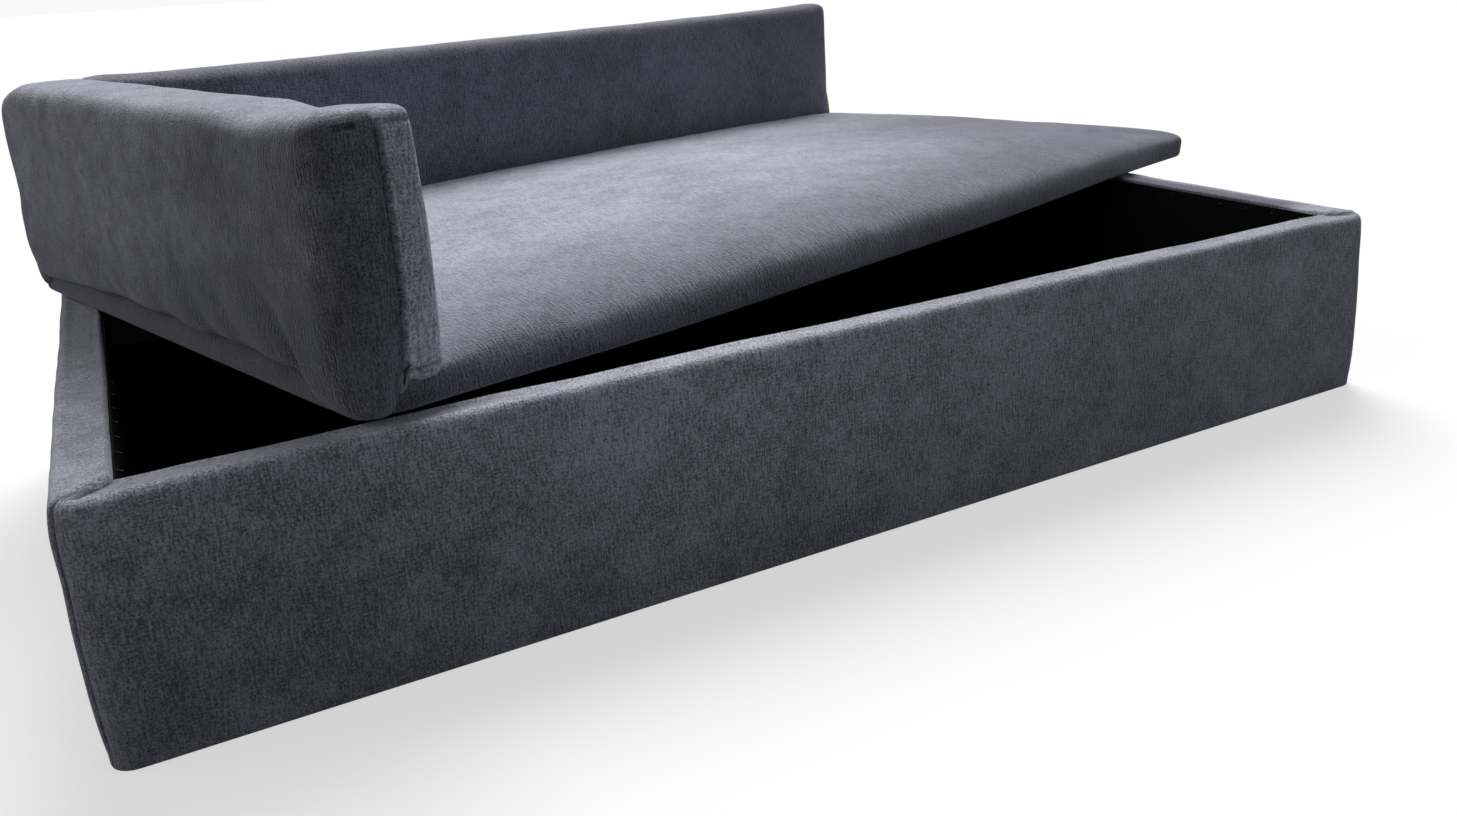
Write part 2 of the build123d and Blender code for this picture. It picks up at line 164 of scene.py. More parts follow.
def chenille(name, contrast=0.065):
    """Short-pile woven cloth, whose two pairs of colours are its standing and flat pile, shaded and
    lit.
    """
    made, tree, out = new_material(name)
    uv = add_node(tree, "ShaderNodeUVMap", {"uv_map": "cloth"})
    place = add_node(tree, "ShaderNodeTexCoord")
    follows = {"yarn": (uv, 0), "place": (place, "Object")}
    total, layers = 0.0, []
    for source, across, along, detail, roughness, weight in WEAVE:
        scale = (MM / across, MM / along, MM / across)
        spot = add_node(tree, "ShaderNodeMapping", Vector=follows[source], Scale=scale)
        sizes = {"Scale": 1.0, "Detail": detail, "Roughness": roughness}
        layer = add_node(tree, "ShaderNodeTexNoise", Vector=(spot, 0), **sizes)
        weigh = {"operation": "MULTIPLY_ADD"}
        added = add_node(tree, "ShaderNodeMath", weigh, _0=(layer, 0), _1=weight, _2=total)
        total = (added, 0)
        layers.append((layer, 0))
    around = {"From_Min": 0.5 - contrast, "From_Max": 0.5 + contrast}
    share = add_node(tree, "ShaderNodeMapRange", Value=total, **around)
    piles_shaded_and_lit = []
    for dark, pale in (STANDING_AND_SHADED, FLAT_AND_LIT):
        mixed = {"Factor": (share, 0), "_6": linear(dark), "_7": linear(pale)}
        piles_shaded_and_lit.append((add_node(tree, "ShaderNodeMix", {"data_type": "RGBA"}, **mixed), 2))
    # The lay attribute mixes the pairs: pile lay, together with painted light and shade.
    lay = add_node(tree, "ShaderNodeAttribute", {"attribute_name": "lay"})
    # The factor may leave 0 to 1, so that a seam gets painted shade, darker than standing pile.
    free = {"data_type": "RGBA", "clamp_factor": False}
    colour = add_node(tree, "ShaderNodeMix", free, Factor=(lay, "Fac"), _6=piles_shaded_and_lit[0], _7=piles_shaded_and_lit[1])
    add = {"operation": "ADD"}
    height = add_node(tree, "ShaderNodeMath", add, _0=layers[TUFTS], _1=layers[SLUBS])
    relief = add_node(tree, "ShaderNodeBump", Strength=0.9, Distance=0.0014, Height=(height, 0))
    surface = add_node(
        tree,
        "ShaderNodeBsdfPrincipled",
        Base_Color=(colour, 2),
        Roughness=0.9,
        IOR=1.45,
        Normal=(relief, 0),
        Sheen_Weight=0.8,
        Sheen_Roughness=0.55,
        Sheen_Tint=linear("#e4e5f2"),
        Specular_IOR_Level=0.25,
    )
    tree.links.new(surface.outputs[0], out.inputs[0])
    return made


charcoal = chenille("charcoal_chenille")


def store_lay_and_shade(piece, lay):
    """Stores the lay of the pile at each point, together with its painted light and shade."""
    layer = piece.data.attributes.new("lay", "FLOAT", "POINT")
    layer.data.foreach_set("value", np.clip(lay, DEEPEST_SEAM_SHADE, FLATTEST_AND_LIT).astype(np.float32))
    print(piece.name, "brushed, mean lay", round(float(np.mean(lay)), 2))


# %% [markdown]
# ## Finishes of the frame's own parts
# The boards, screws, linings, block, pin and bush keep their CAD shapes and only need a finish.
# Each starts from the real material and from how its surface was made, which sets how its grain
# runs, how rough it is, and whether it mirrors as a metal does.


# %% Recipe for a plain finish
def plain_finish(name, low, high, grain, stretch, roughness, metallic=0.0, bump=0.2, gloss=0.5):
    """A finish whose colour wanders between two hexes, with a grain of so many millimetres."""
    made, tree, out = new_material(name)
    place = add_node(tree, "ShaderNodeTexCoord")
    spot = add_node(tree, "ShaderNodeMapping", Vector=(place, "Object"), Scale=stretch)
    sizes = {"Scale": MM / grain, "Detail": 5.0, "Roughness": 0.6}
    wandering = add_node(tree, "ShaderNodeTexNoise", Vector=(spot, 0), **sizes)
    middle = {"From_Min": 0.3, "From_Max": 0.7}
    share = add_node(tree, "ShaderNodeMapRange", Value=(wandering, 0), **middle)
    mixed = {"Factor": (share, 0), "_6": linear(low), "_7": linear(high)}
    colour = add_node(tree, "ShaderNodeMix", {"data_type": "RGBA"}, **mixed)
    depth = {"Strength": bump, "Distance": 0.0003}
    relief = add_node(tree, "ShaderNodeBump", Height=(wandering, 0), **depth)
    surface = add_node(
        tree,
        "ShaderNodeBsdfPrincipled",
        Base_Color=(colour, 2),
        Roughness=roughness,
        Metallic=metallic,
        Specular_IOR_Level=gloss,
        Normal=(relief, 0),
    )
    tree.links.new(surface.outputs[0], out.inputs[0])
    return made


# %% [markdown]
# The grain is in millimetres, and a stretch over 1 makes it narrower that way: so the board's
# plies lie flat, and the pin's turning marks run round it.

# %% Finishes
# Sawn birch plywood: warm and dull, with thin level plies.
plywood = plain_finish("birch_plywood", "#a98258", "#d3b183", 71.4, (1, 4, 12), 0.62)
# Beech, nearly black, with a trace of straight grain.
hardwood = plain_finish("nearly_black_beech", "#0e0d0d", "#1b1918", 25.0, (6, 1, 6), 0.6)
# Zinc plate: pale, with a soft mirror.
zinc = plain_finish("zinc_plated_steel", "#a3a7ab", "#c4c7c9", 3.33, (1, 1, 1), 0.32, 1.0)
# Turned steel: darker and brighter than zinc, with rings from the lathe.
steel = plain_finish("turned_bright_steel", "#8d9094", "#b4b7ba", 5.0, (1, 1, 8), 0.24, 1.0)
# Blackened wire: shows only as a faint glint on the lining.
blackened = plain_finish("blackened_wire", "#08080a", "#111214", 3.33, (1, 1, 1), 0.5, 1.0)
# Moulded nylon: creamy and smooth.
nylon = plain_finish("moulded_nylon", "#dcdacf", "#eceae2", 8.33, (1, 1, 1), 0.42)
# Pressed fibre fleece: takes up nearly all light.
fleece = {"roughness": 0.95, "bump": 0.6, "gloss": 0.1}
lining = plain_finish("black_nonwoven_lining", "#060607", "#0d0d0f", 2.38, (1, 1, 1), **fleece)

FINISH_BY_ENDING = (
    (("_lining", "dust_cover"), lining),
    (("_board",), plywood),
    (("pivot_block",), hardwood),
    (("_screws", "socket_plate"), zinc),
    (("pivot_pin",), steel),
    (("pivot_bush",), nylon),
    (("",), charcoal),
)
for name, node in nodes.items():
    finish = next(finish for endings, finish in FINISH_BY_ENDING if name.endswith(endings))
    node.data.materials.clear()
    node.data.materials.append(finish)

# %% [markdown]
# ## Cloth as a grid
# Upholstery is easiest to shape on a regular grid of four-sided faces, because seams can then
# run along its lines. The next cell makes the skin of a block from three lists of grid lines,
# with a UV map in metres that lies on each side the way the cloth's yarn runs.


# %% Grid of a block
def grid_lines(low, high, step, marks=()):
    """Lines from low to high about a step apart, with a line on each mark."""
    stops = [low, *sorted(marks), high]
    lines = []
    for start, end in zip(stops, stops[1:]):
        count = max(1, round((end - start) / step))
        lines += [start + (end - start) * i / count for i in range(count)]
    return np.array(lines + [high])


def block_skin(xs, ys, zs, grain="y"):
    """Points, faces and UVs (metres) of a block's skin, with its grid indices."""
    found, points, keys, faces, uvs = {}, [], [], [], []
    last = (len(xs) - 1, len(ys) - 1, len(zs) - 1)

    def corner(i, j, k):
        if (i, j, k) not in found:
            found[i, j, k] = len(points)
            points.append((xs[i], ys[j], zs[k]))
            keys.append((i, j, k))
        return found[i, j, k]

    def unrolled(side, i, j, k):
        x, y, drop = xs[i], ys[j], zs[-1] - zs[k]
        level = (x, y) if grain == "y" else (y, x)
        upright = {
            "front": (x, ys[0] - drop),
            "back": (x, ys[-1] + drop),
            "left": (y, xs[0] - drop),
            "right": (y, xs[-1] + drop),
        }
        return upright.get(side, level)

    def face(side, *corners):
        faces.append([corner(*c) for c in corners])
        uvs.extend([unrolled(side, *c) for c in corners])

    for i in range(last[0]):
        for j in range(last[1]):
            k = last[2]
            face("top", (i, j, k), (i + 1, j, k), (i + 1, j + 1, k), (i, j + 1, k))
            face("bottom", (i, j, 0), (i, j + 1, 0), (i + 1, j + 1, 0), (i + 1, j, 0))
    for i in range(last[0]):
        for k in range(last[2]):
            j = last[1]
            face("front", (i, 0, k), (i + 1, 0, k), (i + 1, 0, k + 1), (i, 0, k + 1))
            face("back", (i + 1, j, k), (i, j, k), (i, j, k + 1), (i + 1, j, k + 1))
    for j in range(last[1]):
        for k in range(last[2]):
            i = last[0]
            face("right", (i, j, k), (i, j + 1, k), (i, j + 1, k + 1), (i, j, k + 1))
            face("left", (0, j + 1, k), (0, j, k), (0, j, k + 1), (0, j + 1, k + 1))
    return np.array(points, float), faces, np.array(uvs, float) / MM, np.array(keys)


# %% [markdown]
# ## From block to cushion
# A signed distance says how far a point is from a wanted surface. Walking each grid point down
# that distance lays the block's skin on a rounded form, as cloth is drawn tight over a foam
# before it is stapled.


# %% Rounded forms
def ramp(value, start, end):
    """Smooth step from 0 at start to 1 at end; start may be the larger."""
    t = np.clip((value - start) / (end - start), 0, 1)
    return t * t * (3 - 2 * t)


def hump(value, middle, width):
    """A soft bell of height 1."""
    return np.exp(-(((value - middle) / width) ** 2))


def rounded_block(p, low, high, plan_radii, top_radius, bottom_radius):
    """Distance to a block with plan radii (front left, front right, back left, back right)."""
    middle, half = (low + high) / 2, (high - low) / 2
    q = p - middle
    front = np.where(q[:, 0] < 0, plan_radii[0], plan_radii[1])
    back = np.where(q[:, 0] < 0, plan_radii[2], plan_radii[3])
    radius = np.where(q[:, 1] < 0, front, back)
    dx, dy = (np.abs(q[:, axis]) - half[axis] + radius for axis in (0, 1))
    plan = np.hypot(np.maximum(dx, 0), np.maximum(dy, 0))
    plan += np.minimum(np.maximum(dx, dy), 0) - radius
    edge = np.where(q[:, 2] > 0, top_radius, bottom_radius)
    side, rise = plan + edge, np.abs(q[:, 2]) - half[2] + edge
    outside = np.hypot(np.maximum(side, 0), np.maximum(rise, 0))
    return outside + np.minimum(np.maximum(side, rise), 0) - edge


def settle(points, form, rounds=8, probe=0.02, stride=0.9, least_slope=0.05):
    """Walks points onto the form's surface along its gradient, felt by a probe on each axis."""
    points = points.copy()
    for _ in range(rounds):
        here = form(points)
        rises = [form(points + probe * axis) - form(points - probe * axis) for axis in np.eye(3)]
        slope = np.stack(rises, 1) / (2 * probe)
        size = np.maximum((slope**2).sum(1), least_slope)
        points -= slope * (here / size)[:, None] * stride
    return points


# %% [markdown]
# ## Meshes, filling and sewing
# A cushion is made in four steps. Its mesh is built a little small. Cloth simulation with inner
# pressure then fills it, as foam and wadding do, while its underside is held as if stapled, and
# a cap keeps any point from moving too far. One subdivision smooths the mesh. Last, each marked
# seam is split into two lips with a sunk line between them, finer than the simulation could hold.


# %% Mesh helpers
PIVOT = np.array([-348.0, 173.0])
SWIVEL = math.radians(17.5)


def place_on_lid(piece):
    """Turns a mesh from the axes of the closed lid about the pin to where the lid stands."""
    spin = np.array(Matrix.Rotation(SWIVEL, 2))
    middle = (PIVOT - spin @ PIVOT) / MM
    turn = Matrix.Rotation(SWIVEL, 4, "Z")
    piece.data.transform(Matrix.Translation((*middle, 0)) @ turn)
    piece.data.update()


def new_piece(name, points, faces, uvs):
    """A smooth-shaded piece of chenille from millimetre points and metre UVs."""
    mesh = bpy.data.meshes.new(name)
    mesh.from_pydata((np.asarray(points) / MM).tolist(), [], faces)
    layer = mesh.uv_layers.new(name="cloth")
    layer.data.foreach_set("uv", np.asarray(uvs, np.float32).ravel())
    mesh.materials.append(charcoal)
    mesh.update()
    mesh.shade_smooth()
    print(name, len(faces), "faces")
    return add_object(name, mesh)


def mesh_points(mesh):
    """Vertex places in millimetres."""
    flat = np.empty(len(mesh.vertices) * 3)
    mesh.vertices.foreach_get("co", flat)
    return flat.reshape(-1, 3) * MM


def survey(piece):
    """A piece's points in millimetres, their normals, and their x, y and z."""
    spots = mesh_points(piece.data)
    flat = np.empty(spots.size, np.float32)
    piece.data.vertex_normals.foreach_get("vector", flat)
    return spots, flat.reshape(-1, 3).astype(float), spots.T


def set_points(mesh, points):
    """Writes millimetre places back."""
    mesh.vertices.foreach_set("co", (points / MM).astype(np.float32).ravel())
    mesh.update()


def wander(points, size, seed):
    """Smooth noise from -1 to 1 at each point, with cells of size millimetres."""
    offset = Vector((seed * 7.3, seed * 3.1, seed * 5.7))
    return np.array([noise.noise(Vector(p) / size + offset) for p in points])


# %% Modifiers made mesh
def bake(piece):
    """Turns a piece's modifiers into its plain mesh."""
    graph = bpy.context.evaluated_depsgraph_get()
    finished = piece.evaluated_get(graph)
    mesh = bpy.data.meshes.new_from_object(finished, preserve_all_data_layers=True, depsgraph=graph)
    piece.modifiers.clear()
    old, piece.data = piece.data, mesh
    bpy.data.meshes.remove(old)
    mesh.name = piece.name


def subdivide(piece, levels=1):
    """A subdivision of the surface, made part of the mesh."""
    finer = piece.modifiers.new("finer", "SUBSURF")
    finer.levels = finer.render_levels = levels
    bake(piece)


def fill(piece, held, cap, pressure=4.0, stiffness=18.0, frames=20):
    """Cloth simulation with inner pressure. held lists the points that don't move."""
    scene = bpy.context.scene
    group = piece.vertex_groups.new(name="held")
    group.add([int(number) for number in held], 1.0, "REPLACE")
    cloth = piece.modifiers.new("filling", "CLOTH")
    facts = cloth.settings
    facts.quality = 5
    facts.mass = 0.25
    facts.tension_stiffness = facts.compression_stiffness = stiffness
    facts.shear_stiffness = stiffness / 2
    facts.bending_stiffness = 0.8
    facts.use_pressure = True
    facts.uniform_pressure_force = pressure
    facts.effector_weights.gravity = 0
    facts.vertex_group_mass = group.name
    cloth.point_cache.frame_start, cloth.point_cache.frame_end = 1, frames
    before = mesh_points(piece.data)
    for number in range(1, frames + 1):
        scene.frame_set(number)
    graph = bpy.context.evaluated_depsgraph_get()
    moved = mesh_points(piece.evaluated_get(graph).data) - before
    piece.modifiers.clear()
    piece.vertex_groups.clear()
    scene.frame_set(1)
    far = np.linalg.norm(moved, axis=1)
    share = cap * np.tanh(far / cap) / np.maximum(far, 1e-6)
    set_points(piece.data, before + moved * share[:, None])
    print(piece.name, "filled, moved up to", round(float(far.max()), 1), "mm before the cap")


# %% Seams
def mark_seam(mesh, wanted):
    """Marks the edges whose two end points satisfy wanted(a, b)."""
    ends = np.empty(len(mesh.edges) * 2, int)
    mesh.edges.foreach_get("vertices", ends)
    flags = np.array([wanted(a, b) for a, b in ends.reshape(-1, 2)], bool)
    mesh.edges.foreach_set("use_seam", flags)
    print("seam of", int(flags.sum()), "edges")


def sew(piece, width=1.7, depth=3.6, near=0.75):
    """Splits each marked seam into two lips and sinks the row of points between them."""
    shape = bmesh.new()
    shape.from_mesh(piece.data)
    line = [edge for edge in shape.edges if edge.seam]
    spots = {tuple(round(c * MM, 1) for c in vert.co) for edge in line for vert in edge.verts}
    tree = KDTree(len(spots))
    for number, spot in enumerate(spots):
        tree.insert(spot, number)
    tree.balance()
    cut = {"offset": width / MM, "segments": 2, "profile": 0.5, "affect": "EDGES"}
    made = bmesh.ops.bevel(shape, geom=line, **cut)
    shape.normal_update()
    # The bevel makes three rows. Only the middle one lies near the old line.
    for vert in {vert for face in made["faces"] for vert in face.verts}:
        if tree.find(vert.co * MM)[2] < near * width:
            vert.co -= vert.normal * depth / MM
    shape.to_mesh(piece.data)
    shape.free()
    piece.data.update()
    piece.data.shade_smooth()


# %% [markdown]
# ## The seat pad
# One cover is drawn over the foam and stapled under the lid. The crowned top is fullest in the
# middle of its length and falls by nearly half towards the backrest. The front edge has no
# boxing seam: the cloth rolls over it and bulges a little, most in the left half.

# %% Form of the seat
SEAT_LOW, SEAT_HIGH = np.array([-400.0, -225.0, 128.4]), np.array([400.0, 225.0, 146.3])
ARM_INSIDE, BACK_FRONT = -356.0, 189.0
CROWN_ALONG = ((0, 0.15, 0.4, 0.6, 0.8, 1), (10, 14.5, 20, 20, 16, 10))
FRONT_ROLL, END_ROLL = 112, 70
NOSE = ((0, 0.25, 0.7, 1), (-2.5, 1.0, 5.0, 4.5))


def seat_crown(p):
    """Height of the crown over the seat's edge level."""
    x, y, _ = p.T
    along = (x - ARM_INSIDE) / (SEAT_HIGH[0] - ARM_INSIDE)
    front = np.clip((y - SEAT_LOW[1]) / FRONT_ROLL, 0, 1)
    end = np.clip((SEAT_HIGH[0] - x) / END_ROLL, 0, 1)
    roll = np.sqrt(1 - (1 - front) ** 2) * (0.55 + 0.45 * np.sin(end * math.pi / 2))
    back = 1 - 0.46 * ramp(y, 0, BACK_FRONT)
    open_part = ramp(x, ARM_INSIDE - 8, ARM_INSIDE + 4) * ramp(y, BACK_FRONT + 16, BACK_FRONT + 2)
    return np.interp(along, *CROWN_ALONG) * roll * back * open_part


def seat_form(p):
    """Distance to the seat pad's plain block before its crown and filling."""
    low, high = SEAT_LOW + (2.0, 1.2, 0), SEAT_HIGH - (1.2, 1.2, 1.0)
    top_radius = np.interp(p[:, 0], (-357, -345, 330, 385), (3, 11, 11, 7))
    top_radius = top_radius * np.interp(p[:, 1], (190, 198), (1, 0.3))
    return rounded_block(p, low, high, (17, 11, 18, 12), top_radius, 2.5)


def shape_seat(p):
    """Crowns the top, bellies the front edge and draws in the corner under the arm's cover."""
    p = p.copy()
    height = np.clip((p[:, 2] - SEAT_LOW[2]) / (SEAT_HIGH[2] - SEAT_LOW[2]), 0, 1)
    x, y = p[:, 0].copy(), p[:, 1].copy()
    p[:, 2] += seat_crown(p) * height
    p[:, 1] -= 11.0 * ramp(x, -385, -200) * ramp(x, 330, 40) * ramp(y, -150, -215)
    # The free front corner overhangs: full at its top edge and drawn in below.
    nose = ramp(x, 335, 395) * ramp(y, -130, -220)
    p[:, 0] += nose * np.interp(height, *NOSE)
    p[:, 1] -= 1.5 * nose * height
    # Under the arm's cover the corner steps back, to leave room for the cover's foot.
    p[:, 1] += 3.0 * ramp(x, -376, -382) * ramp(y, -200, -215)
    p[:, 0] += 1.5 * ramp(y, -184, -196) * ramp(x, -380, -392)
    return p


# %% Seat pad
seat_x = grid_lines(-400, 400, 7.2, (-396, -390, 390, 396))
seat_y = grid_lines(-225, 225, 7.2, (-221, -215, 215, 221))
seat_z = grid_lines(128.4, 146.3, 4.5)
points, faces, uvs, keys = block_skin(seat_x, seat_y, seat_z)
points = shape_seat(settle(points, seat_form))
seat_pad = new_piece("seat_pad", points, faces, uvs)
held = np.where((keys[:, 2] == 0) | (points[:, 0] < ARM_INSIDE - 4) | (points[:, 1] > 196))[0]
fill(seat_pad, held, cap=2.2)
subdivide(seat_pad)
spots, outward, (x, y, z) = survey(seat_pad)
lift = 0.5 * wander(spots, 60, 1) + 0.35 * wander(spots, 22, 2)
lift *= ramp(z, 128.5, 134) * ramp(x, -396, -375)
set_points(seat_pad.data, spots + outward * lift[:, None])

# %% [markdown]
# The seat's top is pale: brushed flat, and with painted light. Over the front roll, towards the
# right end and on the edge band it is darker: standing pile, with painted shade. The edge band
# darkens towards its foot, and it is darkest, with painted shade, where it goes under the arm's
# cover.

# %% Pile and painted shade of the seat
LAY_AND_SHADE_FROM_FRONT = ((-240, -213, -183, -150, -90), (0.0, 0.13, 0.34, 0.68, 1.02))
SHADE_ON_EDGE = ((129, 140, 150), (-0.14, 0.0, 0.14))
# Painted shade: darker over the front roll, towards the right end and its front.
from_front = y - 26 * ramp(x, 100, 380)
lay = np.interp(from_front, *LAY_AND_SHADE_FROM_FRONT)
lay *= 1 - 0.88 * ramp(x, 60, 330) * ramp(y, 190, -40)
lay *= 1 - 0.4 * ramp(x, 0, 180) * ramp(y, -120, -190)
lay *= 1 - 0.1 * ramp(x, 100, 280)
# Painted shade on the edge band, darker towards its foot.
lay += (np.interp(z, *SHADE_ON_EDGE) - lay) * ramp(outward[:, 2], 0.6, 0.0)
# Painted shade: darkest where the band goes under the arm's cover.
lay -= (lay + 0.12) * ramp(x, -372, -385)
store_lay_and_shade(seat_pad, lay + 0.06 * wander(spots, 45, 9))

# %% [markdown]
# ## The arm bolster
# The arm's cover is one panel that goes round its front left corner: the outer side and most of
# the front are one piece of cloth, and a narrow strip closes the front beside the seat. At the
# top the panel is folded under the strip with a small tuck. The strip's seam leans out at its
# foot, and the strip's inner edge swells higher up.

# %% Form of the arm
ARM_LOW, ARM_HIGH = np.array([-400.0, -225.0, 146.3]), np.array([-356.0, 225.0, 265.3])
STRIP = -371.5
SEAM_LEAN = ((0, 0.05, 0.18, 0.38, 0.9), (7.5, 4.5, 2.3, -0.3, -1.0))
STRIP_EDGE = ((0, 0.1, 0.38, 0.55, 0.75, 0.9, 1), (-0.8, 0.6, 1.8, 2.4, 2.6, 2.8, 2.0))


def arm_rise(p):
    """Share of the arm's height, 0 at its foot."""
    return (p[:, 2] - ARM_LOW[2]) / (ARM_HIGH[2] - ARM_LOW[2])


def arm_form(p):
    """Distance to the arm's plain block before it is shaped and filled."""
    low, high = ARM_LOW - (1.4, 1.0, 0), ARM_HIGH + (1.6, 1.0, 2.4)
    top_radius = np.interp(p[:, 0], (-395, -360), (12, 3.5))
    return rounded_block(p, low, high, (15, 3.0, 22, 8), top_radius, 2.0)


def shape_arm(p):
    """Lets the rear end fall at its top, draws in its foot and pinches the top near the front."""
    p = p.copy()
    x, y, z = p.T
    rise = arm_rise(p)
    inside = np.clip(rise, 0, 1)
    rear = ramp(y, 165, 225)
    z -= 9.6 * rear**2 * inside + 3.4 * hump(y, -152, 26) * ramp(rise, 0.5, 1.0)
    z += 1.6 * ramp(y, -40, 80) * inside
    y += rear * (3.6 * hump(rise, 0.3, 0.25) - 9.0 * ramp(rise, 0.2, 0.0))
    x += 1.6 * np.sin(inside * math.pi) * np.clip((x + 378) / 22, -1, 1)
    near_seam = hump(x, STRIP, 12) * ramp(x, -355, -366) * ramp(y, -205, -222)
    at_edge = ramp(x, -370, -358) * ramp(y, -190, -218)
    x += np.interp(rise, *STRIP_EDGE) * at_edge - np.interp(rise, *SEAM_LEAN) * near_seam
    return p


# %% Arm bolster
arm_x = grid_lines(-400, -356, 5.0, (STRIP,))
arm_y = grid_lines(-225, 225, 5.2)
arm_z = grid_lines(146.3, 265.3, 5.2)
points, faces, uvs, keys = block_skin(arm_x, arm_y, arm_z, grain="x")
points = shape_arm(settle(points, arm_form))
arm_bolster = new_piece("arm_bolster", points, faces, uvs)
strip_line = int(np.argmin(np.abs(arm_x - STRIP)))
top_line = len(arm_z) - 1


def arm_seam(a, b):
    """The front strip's side seam, its foot and the fold over its top, with the tuck beside it."""
    (ia, ja, ka), (ib, jb, kb) = keys[a], keys[b]
    if ja or jb:
        return False
    if ia == ib == strip_line:
        return min(ka, kb) >= 1 and max(ka, kb) <= top_line - 1
    on_strip = min(ia, ib) >= strip_line
    in_tuck = strip_line - 4 <= min(ia, ib) < strip_line - 2
    return (ka == kb == 1 and on_strip) or (ka == kb == top_line - 1 and (on_strip or in_tuck))


mark_seam(arm_bolster.data, arm_seam)
fill(arm_bolster, np.where(keys[:, 2] == 0)[0], cap=1.8)
subdivide(arm_bolster)

# %% [markdown]
# Low on the outer side the cloth creases where it is drawn down. Each crease is a soft line that
# leans towards the rear as it climbs and dies out on the way. The cloth bellies out just over its
# foot and is drawn in at the foot itself.

# %% Creases of the arm
CREASES = (
    # place along the arm at the foot, height it reaches, lean, depth, width
    (-186, 52, 0.9, -3.4, 7),
    (-160, 64, 1.0, 1.8, 14),
    (-122, 50, 0.8, -1.8, 11),
    (-88, 40, 0.8, -1.8, 9),
    (-68, 52, 0.9, 1.3, 14),
    (-24, 46, 0.8, -1.6, 11),
    (6, 50, 0.8, 1.0, 14),
    (50, 52, 0.8, -1.7, 12),
    (82, 56, 0.8, 1.2, 15),
    (130, 44, 0.7, -1.3, 12),
)
CREASE_FOOT = 147
spots, outward, (x, y, z) = survey(arm_bolster)
outer = ramp(-outward[:, 0], 0.3, 0.8)
lift = 0.7 * wander(spots, 55, 3) + 0.3 * wander(spots, 20, 4)
climb = z - CREASE_FOOT
for place, reach, lean, depth, width in CREASES:
    lift += depth * hump(y, place + lean * climb, width) * ramp(climb, reach, 2) * outer
lift += 1.6 * hump(z, 160, 12) * outer - 1.8 * ramp(z, 150, 146) * outer
spots = spots + outward * lift[:, None]

# %% [markdown]
# Over the front left corner and at the rear the cover runs on down over the lid's edge band, and
# the strip reaches a little way down too. All of it is drawn in where it goes under the lid.

# %% Foot of the arm's cover
BAND_DROP = 17.6
x, y, z = spots.T
near_front = ramp(y, -172, -188) * ramp(x, -371, -378)
near_front *= ramp(np.minimum(x - ARM_LOW[0], y - ARM_LOW[1]), 14, 9)
outer_half = ramp(x, -372, -386)
at_rear = 0.36 * ramp(y, 60, 190) + 0.6 * ramp(y, 186, 210)
strip_foot = 0.3 * ramp(y, -215, -222)
hanging = np.maximum(np.maximum(near_front, at_rear * outer_half), strip_foot)
z -= BAND_DROP * hanging * np.clip((188 - z) / 42, 0, 1) ** 1.6
drawn = ramp(z, 146, 128)
x += 1.6 * drawn * ramp(y, -172, -188)
y += 0.8 * drawn * ramp(y, -205, -220)
by_strip = ramp(x, -388, -377) * ramp(x, -367, -373)
y += 3.4 * ramp(z, 148, 141) * by_strip * ramp(y, -210, -222)
y -= 5.0 * drawn * ramp(y, 195, 215) * outer_half
set_points(arm_bolster.data, spots)
sew(arm_bolster)

# %% [markdown]
# The arm is pale on top and at the rear of its side, and darker towards its front and its foot:
# flat and standing pile, with painted light and shade. The front panel is dark with painted
# shade, the strip beside the seat is pale with a painted highlight, and the seam between them
# has painted shade.

# %% Pile and painted light of the arm
LAY_AND_SHADE_ALONG = ((-225, -170, -90, 0, 225), (-0.06, -0.04, 0.1, 0.4, 0.54))
PANEL_LAY_AND_SHADE, STRIP_LAY_AND_HIGHLIGHT, TOP_LAY_AND_LIGHT = 0.06, 1.12, 0.75
spots, outward, (x, y, z) = survey(arm_bolster)
# Painted shade towards the front and low on the side, and painted light on the top.
lay = np.interp(y, *LAY_AND_SHADE_ALONG) - 0.36 * ramp(z, 205, 155)
lay += (TOP_LAY_AND_LIGHT - lay) * ramp(outward[:, 2], 0.3, 0.9)
# Painted shade on the front panel, and a painted highlight on the strip beside the seat.
front_panel = ramp(outward[:, 1], -0.35, -0.8)
seam_x = STRIP - np.interp(arm_rise(spots), *SEAM_LEAN)
lay += (np.where(x > seam_x, STRIP_LAY_AND_HIGHLIGHT, PANEL_LAY_AND_SHADE) - lay) * front_panel
mottle = 0.28 * wander(spots, 8, 13) + 0.22 * wander(spots, 26, 14)
lay += ramp(-outward[:, 0], 0.4, 0.9) * mottle
# Painted shade in the strip's seam.
on_seam = front_panel * hump(x, seam_x, 1.7) * ramp(z, 262, 256)
lay -= (lay + 0.2) * np.minimum(1.25 * on_seam, 1)
store_lay_and_shade(arm_bolster, lay + 0.08 * wander(spots, 28, 10))

# %% [markdown]
# ## The backrest bolster
# The backrest is a slimmer bolster that butts against the arm's inner side. Its top is rolled,
# its right end is closed with small soft corners and stands a little higher, and its foot sinks
# into the seat. Its front is dark with standing pile and painted shade, and it is paler along the
# top and on the back, with painted light where they face the light.

# %% Backrest bolster
BACK_LOW, BACK_HIGH = np.array([-353.0, 189.0, 146.3]), np.array([400.0, 225.0, 266.3])


def back_form(p):
    """Distance to the backrest before filling."""
    low, high = BACK_LOW + (0.4, 1.8, 0), BACK_HIGH + (-1.5, -1.8, 1.8)
    return rounded_block(p, low, high, (5, 9, 5, 9), 9.5, 3.0)


